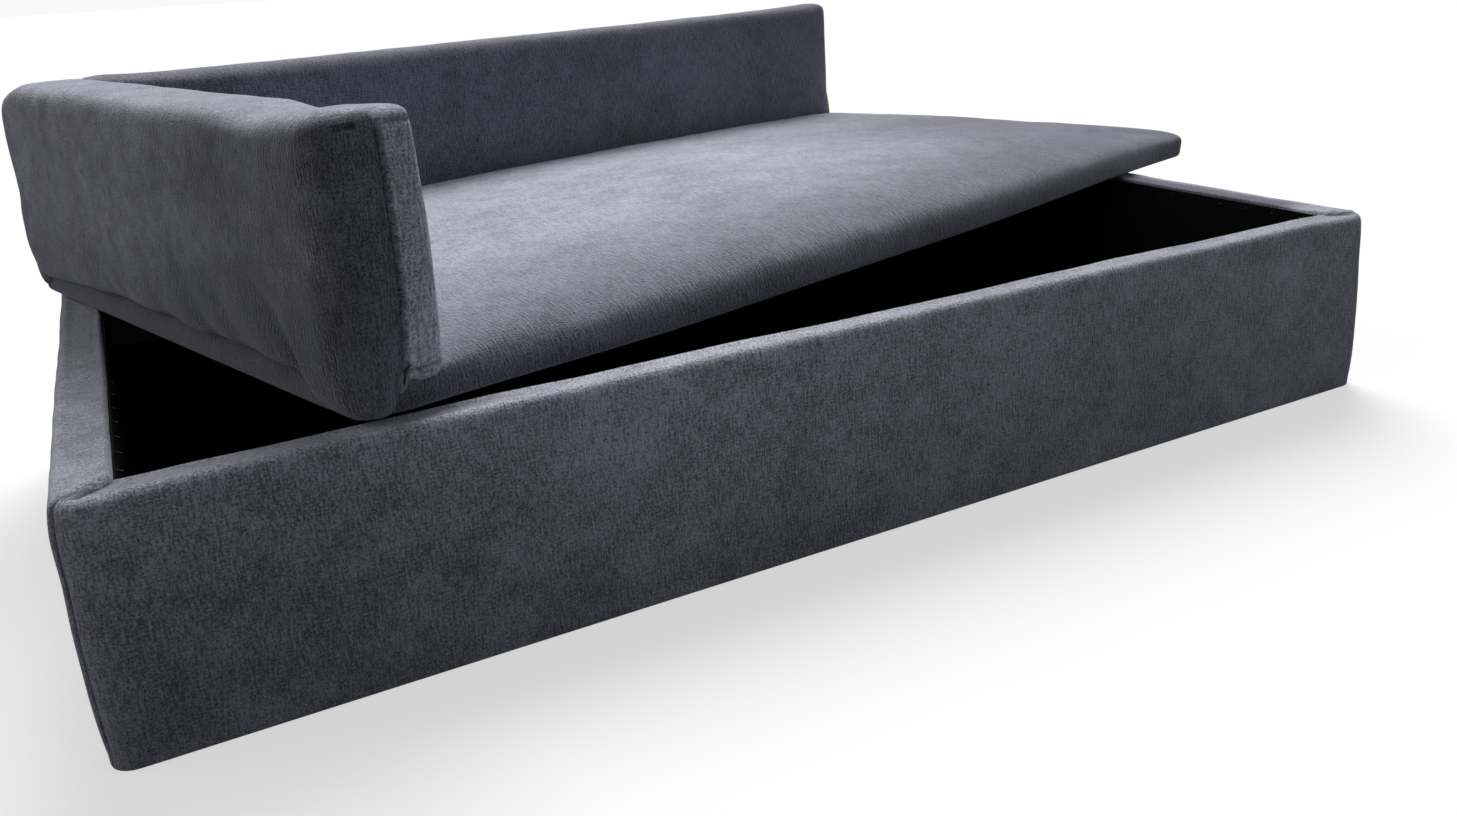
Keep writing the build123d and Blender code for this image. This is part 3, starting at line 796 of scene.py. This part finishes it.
back_x = grid_lines(-353, 400, 6.5)
back_y = grid_lines(189, 225, 4.6)
back_z = grid_lines(146.3, 266.3, 6.0)
points, faces, uvs, keys = block_skin(back_x, back_y, back_z)
points = settle(points, back_form)
points[:, 2] += 1.6 * ramp(points[:, 0], 60, 380) * ramp(points[:, 2], 150, 262)
backrest_bolster = new_piece("backrest_bolster", points, faces, uvs)
fill(backrest_bolster, np.where((keys[:, 2] == 0) | (keys[:, 0] == 0))[0], cap=3.2)
subdivide(backrest_bolster)
spots, outward, (x, y, z) = survey(backrest_bolster)
lift = 0.7 * wander(spots, 70, 5) + 0.25 * wander(spots, 22, 6)
lift *= ramp(z, 147, 156) * ramp(x, -352, -340)
set_points(backrest_bolster.data, spots + outward * lift[:, None])
# Painted light: paler on the top and the back face, and dark with painted shade in front.
lay = 0.04 + 0.12 * ramp(outward[:, 2], 0.2, 0.9) + 0.25 * ramp(outward[:, 1], 0.3, 0.9)
store_lay_and_shade(backrest_bolster, lay + 0.05 * wander(spots, 40, 11))

# %% [markdown]
# ## The box's covers
# Each wall is a board wrapped in wadding and cloth: up the outside, over the rim and two fingers'
# width down inside. That section is swept round the box as one ring of grid loops, each a rounded
# rectangle, which is then parted into four covers along the corner seams.

# %% Section of a wall
BOX_X, BOX_Y, BOX_TOP = 400.0, 225.0, 127.0
RIM_X, RIM_Y = 24.0, 17.5
INSIDE_DROP = 36.0
OUTER_ROUND, INNER_ROUND, HEM_ROUND = 6.5, 3.2, 1.6
HEM, HEM_WIDTH = 0.1, 11.0
ROW = 5.0


def quarter(radius, turns):
    """Points on a rounded edge, by how far each lies from the edge's two faces."""
    angles = [math.radians(turn) for turn in turns]
    return [(radius * (1 - math.cos(a)), radius * (1 - math.sin(a))) for a in angles]


def wall_section():
    """Rows from hem to hem: side (outer 1, inner 0, over the rim between), depth and height."""
    hem = [(1, depth, HEM + rise) for rise, depth in quarter(HEM_ROUND, (0, 45, 90))]
    up = grid_lines(HEM + HEM_ROUND, BOX_TOP - OUTER_ROUND, ROW)[1:]
    outer = quarter(OUTER_ROUND, (22.5, 45, 67.5, 90))
    inner = quarter(INNER_ROUND, (90, 60, 30, 0))
    down = grid_lines(BOX_TOP - INNER_ROUND, BOX_TOP - INSIDE_DROP, 8)[1:]
    return [
        (1, HEM_WIDTH, HEM),
        *hem,
        *[(1, 0.0, height) for height in up],
        *[(1, depth, BOX_TOP - sink) for depth, sink in outer],
        *[(share, 0.0, BOX_TOP) for share in (0.8, 0.6, 0.4, 0.2)],
        *[(0, depth, BOX_TOP - sink) for depth, sink in inner],
        *[(0, 0.0, height) for height in down],
    ]


section = wall_section()
print("section of", len(section), "rows")

# %% Ring of the walls
CORNER_STEPS, STEPS_X, STEPS_Y = 10, 120, 66
CORNER_RADIUS, TIGHTEST, INSIDE_RADIUS = 10.0, 1.5, 1.2
CORNERS = ((-1, -1), (1, -1), (1, 1), (-1, 1))
DIRECTIONS = ((1, 0), (0, 1), (-1, 0), (0, -1))


def ring_loop(side, depth, height):
    """One loop of the ring, from the front left corner round by the right."""
    if 0 < side < 1:
        insets = [side * OUTER_ROUND + (1 - side) * (rim - INNER_ROUND) for rim in (RIM_X, RIM_Y)]
        radius = INSIDE_RADIUS + 2.3 * side
    elif side == 1:
        insets, radius = (depth, depth), max(TIGHTEST, CORNER_RADIUS - depth)
    else:
        insets, radius = (RIM_X - depth, RIM_Y - depth), INSIDE_RADIUS
    half = np.array((BOX_X - insets[0], BOX_Y - insets[1]))
    loop = []
    for corner, along, count in zip(CORNERS, DIRECTIONS, (STEPS_X, STEPS_Y) * 2):
        along = np.array(along)
        inward = np.array((-along[1], along[0]))
        start, length = half * corner, 2 * abs(half @ along)
        # The steps are closer together near the corners, where the cloth bends.
        t = np.arange(count + 1)[:, None] / count
        reach = radius + (length - 2 * radius) * (0.3 * t + 0.7 * ramp(t, 0, 1))
        loop.append(start + along * reach)
        centre = start + along * (length - radius) + inward * radius
        angle = math.pi / 2 * np.arange(1, CORNER_STEPS)[:, None] / CORNER_STEPS
        loop.append(centre + radius * (along * np.sin(angle) - inward * np.cos(angle)))
    loop = np.concatenate(loop)
    return np.column_stack([loop, np.full(len(loop), height)])


ring = np.array([ring_loop(*row) for row in section])
rows, around = ring.shape[:2]
print("ring", rows, "rows of", around)

# %% [markdown]
# The swept ring is too perfect to be upholstery. The outer faces belly out and get a slow
# unevenness, the rim sags between the corners, and the foot of each corner is drawn in.


# %% Softening the ring
def ring_normals(grid):
    """Outward directions of the ring's skin from its grid differences."""
    along = np.roll(grid, -1, 1) - np.roll(grid, 1, 1)
    cross = np.cross(along, np.gradient(grid, axis=0))
    return cross / np.maximum(np.linalg.norm(cross, axis=2, keepdims=True), 1e-9)


LEVEL = np.array((1, 1, 0))
sides, _, heights = np.array(section).T[:, :, None]
outside, on_rim = 1.0 * (sides == 1), 1.0 * (heights > BOX_TOP - 0.4)
inside_face = 1.0 * ((sides == 0) & (heights < BOX_TOP - 1))
ring_out = ring_normals(ring)
every = ring.reshape(-1, 3)
uneven = (0.9 * wander(every, 85, 7) + 0.4 * wander(every, 26, 8)).reshape(rows, around)
uneven *= ramp(heights, 2, 20) * (1 - 0.75 * on_rim)
soft = ring + ring_out * uneven[:, :, None]
# The end walls are fuller than the front and back, and fullest at their shoulders.
end_share = ring_out[:, :, 0] ** 2
full = np.sin(np.clip((heights - 8) / 112, 0, 1) * math.pi) ** 0.8
belly = outside * (full * (0.6 + 1.2 * end_share) + 1.3 * hump(heights, 110, 14) * end_share)
soft = soft + ring_out * belly[:, :, None] * LEVEL
to_corner = np.hypot(BOX_X - np.abs(ring[:, :, 0]), BOX_Y - np.abs(ring[:, :, 1]))
soft[:, :, 2] -= on_rim * 0.5 * ramp(to_corner, 30, 120)
lifted = ramp(to_corner, 14, 2) * ramp(heights, 12, 2) * outside
soft[:, :, 2] += 0.2 * lifted
soft -= ring_out * (0.8 * lifted)[:, :, None] * LEVEL
print("belly up to", round(float(belly.max()), 1), "mm")

# %% [markdown]
# Across each corner of the rim the covers meet in a folded mitre: a sunk line with puffed lips.
# Below it the corner seam stands two thirds round its corner, nearer the end wall, because the
# front and back covers wrap round it. The seam pulls the cloth in on both sides.


# %% Mitres and corner seams
def mitre(x, y):
    """Distance from the corner's mitre line, and how far in from the end wall's face."""
    from_x, from_y = BOX_X - np.abs(x), BOX_Y - np.abs(y)
    slope = RIM_Y / RIM_X
    return (from_y - slope * from_x) / math.hypot(1, slope), from_x


off_mitre, from_end = mitre(ring[:, :, 0], ring[:, :, 1])
fold = -3.0 * hump(off_mitre, 0, 1.9) * ramp(from_end, 2, 12)
fold += 1.2 * hump(off_mitre, 5.5, 3.6) * ramp(from_end, 2, 9)
fold -= 1.2 * ramp(from_end, 60, 20) * ramp(off_mitre, -1, -4)
soft[:, :, 2] += fold * ramp(heights, 119, 125) * (1 - inside_face)
soft[:, :, 2] -= 1.2 * on_rim

SEAM_STEP = 7
SEAM_PULL, SEAM_WIDTH = 1.3, 0.95
HALF_WAY = STEPS_X + STEPS_Y + 2 * CORNER_STEPS
first, second = STEPS_X + SEAM_STEP, HALF_WAY - SEAM_STEP
seam_columns = (first, second, HALF_WAY + first, HALF_WAY + second)
for column in seam_columns:
    for offset in range(-3, 4):
        pull = SEAM_PULL * math.exp(-((offset / SEAM_WIDTH) ** 2))
        here = (column + offset) % around
        soft[:, here] -= ring_out[:, here] * pull * outside * ramp(heights, 0, 16)
soft[:, :, 2] = np.minimum(soft[:, :, 2], BOX_TOP)
print("seams at columns", seam_columns)

# %% [markdown]
# Each wall's cover is the ring between two seams, with an inner skin behind it at the depth of
# the wadding. Edge faces close the shell at the hems and at the seams.


# %% Shell of a wall
def wall_cover(name, start, count, thick):
    """The ring's columns of one wall as a closed shell, wadded by thick on its outer side."""
    columns = [(start + step) % around for step in range(count + 1)]
    outer = soft[:, columns]
    depth = np.where(sides == 1, thick, 1.2 + 1.6 * sides)
    depth = np.where(heights < 2, np.minimum(depth, 1.4), depth)
    inner = outer - ring_out[:, columns] * depth[:, :, None]
    points = np.concatenate([outer.reshape(-1, 3), inner.reshape(-1, 3)])
    # The yarn lies square to the wall: u runs along it and v up its section.
    climbs = np.linalg.norm(np.diff(outer, axis=0), axis=2).mean(1)
    v = np.concatenate([[0], np.cumsum(climbs)]) / MM
    paces = np.linalg.norm(np.diff(outer[rows // 3], axis=0), axis=1)
    u = np.concatenate([[0], np.cumsum(paces)]) / MM
    u -= u.mean()
    width, faces, uvs = count + 1, [], []

    def add(*corners):
        """One face from (row, column, skin) corners, where skin 1 is the inner one."""
        faces.append([(skin * rows + row) * width + column for row, column, skin in corners])
        uvs.extend([(u[column], v[row]) for row, column, _ in corners])

    for row in range(rows - 1):
        for column in range(count):
            square = [(row, column), (row, column + 1), (row + 1, column + 1), (row + 1, column)]
            add(*[(*corner, 0) for corner in square])
            add(*[(*corner, 1) for corner in reversed(square)])
    for row in range(rows - 1):
        add((row, 0, 1), (row, 0, 0), (row + 1, 0, 0), (row + 1, 0, 1))
        add((row, count, 0), (row, count, 1), (row + 1, count, 1), (row + 1, count, 0))
    top = rows - 1
    for column in range(count):
        add((0, column, 1), (0, column + 1, 1), (0, column + 1, 0), (0, column, 0))
        add((top, column, 0), (top, column + 1, 0), (top, column + 1, 1), (top, column, 1))
    return new_piece(name, points, faces, uvs)


# %% [markdown]
# The walls are paler towards the rim and to the right, with one paler patch near the middle and
# a paler strip on the left rim: the pile's lay, with painted light. The right wall's rim is
# darkened below standing pile, and the mitres and corner seams are dark with painted shade.

# %% Covers of the walls
WALL_LAY_AND_LIGHT = ((0, 60, 118, 124), (0.34, 0.44, 0.64, 0.66))
CORNER_SEAM = (1.1, 5.5)
WADDING = (("right", 9.5), ("back", 3.6), ("left", 9.5), ("front", 3.6))


def paint_wall_lay_and_shade(piece):
    """Lays the pile, with painted light and shade, of one wall's cover."""
    spots = mesh_points(piece.data)
    x, y, z = spots.T
    # Painted light: paler towards the rim, to the right, near the middle and on the left rim.
    lay = np.interp(z, *WALL_LAY_AND_LIGHT)
    lay += 0.1 * ramp(x, -330, -120) + 0.09 * ramp(x, -200, 400)
    lay += 0.32 * hump(x, -95, 125) * ramp(z, 5, 80)
    lay += 0.12 * ramp(x, -374, -380) * ramp(z, 117, 124)
    # The right wall's rim is darkened below standing pile.
    lay -= (lay + 0.14) * ramp(x, 397, 390) * (x > 370) * ramp(y, -195, -160)
    off_mitre, from_end = mitre(x, y)
    sunk = hump(off_mitre, 0, 2.0) * ramp(from_end, 4, 16) * ramp(from_end, 26, 23)
    sunk *= ramp(z, 112, 120)
    from_side = BOX_Y - np.abs(y)
    off_seam = np.hypot(from_end - CORNER_SEAM[0], from_side - CORNER_SEAM[1])
    # Painted shade in the mitres and corner seams.
    lay -= (lay + 0.1) * np.maximum(sunk, 0.7 * hump(off_seam, 0, 2.2))
    store_lay_and_shade(piece, lay + 0.07 * wander(spots, 40, 12))


wall_covers = {}
for number, (wall, thick) in enumerate(WADDING):
    start, stop = seam_columns[number], seam_columns[(number + 1) % 4]
    piece = wall_cover(f"{wall}_upholstery", start, (stop - start) % around, thick)
    paint_wall_lay_and_shade(piece)
    wall_covers[wall] = piece

# %% [markdown]
# ## Staples by the hundred
# The lining under the lid and the lining's top edge in the box are stapled all round. A Geometry
# Nodes tree lays them: it walks a loop at an even spacing, puts a wire crown at each stop and
# turns each a little askew by a seeded random value. The wire is drawn a little thick, to show.

# %% Staple tree
CROWN, WIRE = 10.0, 0.9
SPACING, ASKEW, SEED = 24.0, 0.16, 11
SOCKETS = (("Spacing", "Float"), ("Askew", "Float"), ("Wire", "Material"))


def staple_tree():
    """Input loop to stapled row: Spacing, Askew and Wire are inputs, the seed is fixed."""
    tree = bpy.data.node_groups.new("staple_row", "GeometryNodeTree")
    face = tree.interface
    face.new_socket("Loop", in_out="INPUT", socket_type="NodeSocketGeometry")
    for name, kind in SOCKETS:
        face.new_socket(name, in_out="INPUT", socket_type=f"NodeSocket{kind}")
    face.new_socket("Staples", in_out="OUTPUT", socket_type="NodeSocketGeometry")
    given = add_node(tree, "NodeGroupInput")
    curve = add_node(tree, "GeometryNodeMeshToCurve", Mesh=(given, "Loop"))
    evenly = {"_0": (curve, 0), "Length": (given, "Spacing")}
    stops = add_node(tree, "GeometryNodeCurveToPoints", {"mode": "LENGTH"}, **evenly)
    crown = add_node(tree, "GeometryNodeMeshCube", Size=(CROWN / MM, WIRE / MM, WIRE / MM))
    path = {"Vector": (stops, "Tangent")}
    along = add_node(tree, "FunctionNodeAlignRotationToVector", {"axis": "X"}, **path)
    times = {"operation": "MULTIPLY"}
    least = add_node(tree, "ShaderNodeMath", times, _0=(given, "Askew"), _1=-1.0)
    limits = {"_2": (least, 0), "_3": (given, "Askew"), "Seed": SEED}
    askew = add_node(tree, "FunctionNodeRandomValue", {"data_type": "FLOAT"}, **limits)
    swing = add_node(tree, "ShaderNodeCombineXYZ", Z=(askew, 1))
    swung = {"Rotation": (along, 0), "Rotate_By": (swing, 0)}
    turned = add_node(tree, "FunctionNodeRotateRotation", **swung)
    parts = {"Points": (stops, 0), "Instance": (crown, 0), "Rotation": (turned, 0)}
    laid = add_node(tree, "GeometryNodeInstanceOnPoints", **parts)
    real = add_node(tree, "GeometryNodeRealizeInstances", Geometry=(laid, 0))
    wired = {"Geometry": (real, 0), "Material": (given, "Wire")}
    done = add_node(tree, "GeometryNodeSetMaterial", **wired)
    add_node(tree, "NodeGroupOutput", Staples=(done, 0))
    return tree


staples = staple_tree()


# %% Staples
def staple_row(name, half_x, half_y, level, wire):
    """Staples round a rectangle in the lid's or the box's own axes."""
    points = [(x * half_x / MM, y * half_y / MM, level / MM) for x, y in CORNERS]
    mesh = bpy.data.meshes.new(name)
    mesh.from_pydata(points, [(0, 1), (1, 2), (2, 3), (3, 0)], [])
    row = add_object(name, mesh)
    maker = row.modifiers.new("staples", "NODES")
    maker.node_group = staples
    values = {"Spacing": SPACING / MM, "Askew": ASKEW, "Wire": wire}
    for socket in staples.interface.items_tree:
        if socket.name in values:
            maker[socket.identifier] = values[socket.name]
    bake(row)
    print(name, len(row.data.polygons) // 6, "staples")
    return row


lid_staples = staple_row("lid_lining_staples", 385.0, 210.0, 127.65, zinc)
box_staples = staple_row("box_lining_staples", 374.9, 206.4, 120.5, blackened)

# %% [markdown]
# ## Who carries what
# Each piece rides on the body that its CAD solids belong to, and stands for them.

# %% Riding and replacing
for piece, hidden in (
    (seat_pad, ("seat_cover", "seat_foam")),
    (arm_bolster, ("arm_cover", "arm_foam")),
    (backrest_bolster, ("backrest_cover", "backrest_foam")),
):
    place_on_lid(piece)
    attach(piece, "lid")
    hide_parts(*hidden)
place_on_lid(lid_staples)
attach(lid_staples, "lid")
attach(box_staples, "box")
for wall, piece in wall_covers.items():
    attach(piece, "box")
    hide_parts(f"{wall}_cover", f"{wall}_wadding")
print("dressed pieces", 5 + len(wall_covers))

# %% [markdown]
# ## The stage
# The floor looks pale to the camera but sends little light back up, so that the front stays dark.
# The sky is low and even, with a bright backdrop that only the camera and glosses see.


# %% Floor and world
def seen_directly(tree):
    """A light path node, and a node that is 1 for what the camera or a gloss looks at."""
    rays = add_node(tree, "ShaderNodeLightPath")
    kinds = {"_0": (rays, "Is Camera Ray"), "_1": (rays, "Is Glossy Ray")}
    return rays, add_node(tree, "ShaderNodeMath", {"operation": "MAXIMUM"}, **kinds)


FLOOR, GLOW = 30.0, 0.6
floor_mesh = bpy.data.meshes.new("studio_floor")
floor_mesh.from_pydata([(x * FLOOR, y * FLOOR, 0) for x, y in CORNERS], [], [(0, 1, 2, 3)])
floor = add_object("studio_floor", floor_mesh)
paint, tree, out = new_material("pale_studio_paint")
rays, seen = seen_directly(tree)
tones = {"Factor": (seen, 0), "_6": linear("#3a3a3c"), "_7": linear("#f4f4f4")}
tone = add_node(tree, "ShaderNodeMix", {"data_type": "RGBA"}, **tones)
matt = add_node(tree, "ShaderNodeBsdfDiffuse", Color=(tone, 2))
glow = add_node(tree, "ShaderNodeEmission", Color=linear("#ffffff"), Strength=1.0)
times = {"operation": "MULTIPLY"}
share = add_node(tree, "ShaderNodeMath", times, _0=(rays, "Is Camera Ray"), _1=GLOW)
surface = add_node(tree, "ShaderNodeMixShader", _0=(share, 0), _1=(matt, 0), _2=(glow, 0))
tree.links.new(surface.outputs[0], out.inputs[0])
floor_mesh.materials.append(paint)

world = bpy.data.worlds.new("studio")
bpy.context.scene.world = world
world.use_nodes = True
tree = world.node_tree
tree.nodes.clear()
out = tree.nodes.new("ShaderNodeOutputWorld")
_, seen = seen_directly(tree)
sky = add_node(tree, "ShaderNodeBackground", Color=linear("#ffffff"), Strength=0.15)
backdrop = add_node(tree, "ShaderNodeBackground", Color=linear("#ffffff"), Strength=0.95)
both = add_node(tree, "ShaderNodeMixShader", _0=(seen, 0), _1=(sky, 0), _2=(backdrop, 0))
tree.links.new(both.outputs[0], out.inputs[0])

# %% [markdown]
# The key light comes from behind on the right, so that the seat's top is bright and the front is
# in shade. A weaker one comes from the left, and a faint cool one from the front right.


# %% Lamps
def sun(name, direction, strength, angle, colour=(1, 1, 1)):
    """A soft distant lamp that shines along a direction."""
    lamp = bpy.data.lights.new(name, "SUN")
    lamp.color = colour
    lamp.energy, lamp.angle = strength, math.radians(angle)
    made = add_object(name, lamp)
    made.rotation_mode = "QUATERNION"
    made.rotation_quaternion = Vector(direction).to_track_quat("-Z", "Y")
    print(name, "of strength", strength)


sun("key_light", (-0.32, -0.55, -0.77), 3.7, 40)
sun("left_light", (0.85, -0.15, -0.5), 0.5, 50)
sun("right_light", (-0.75, 0.6, -0.3), 0.27, 60, (0.74, 0.8, 1.0))
bpy.context.scene.view_settings.view_transform = "Standard"
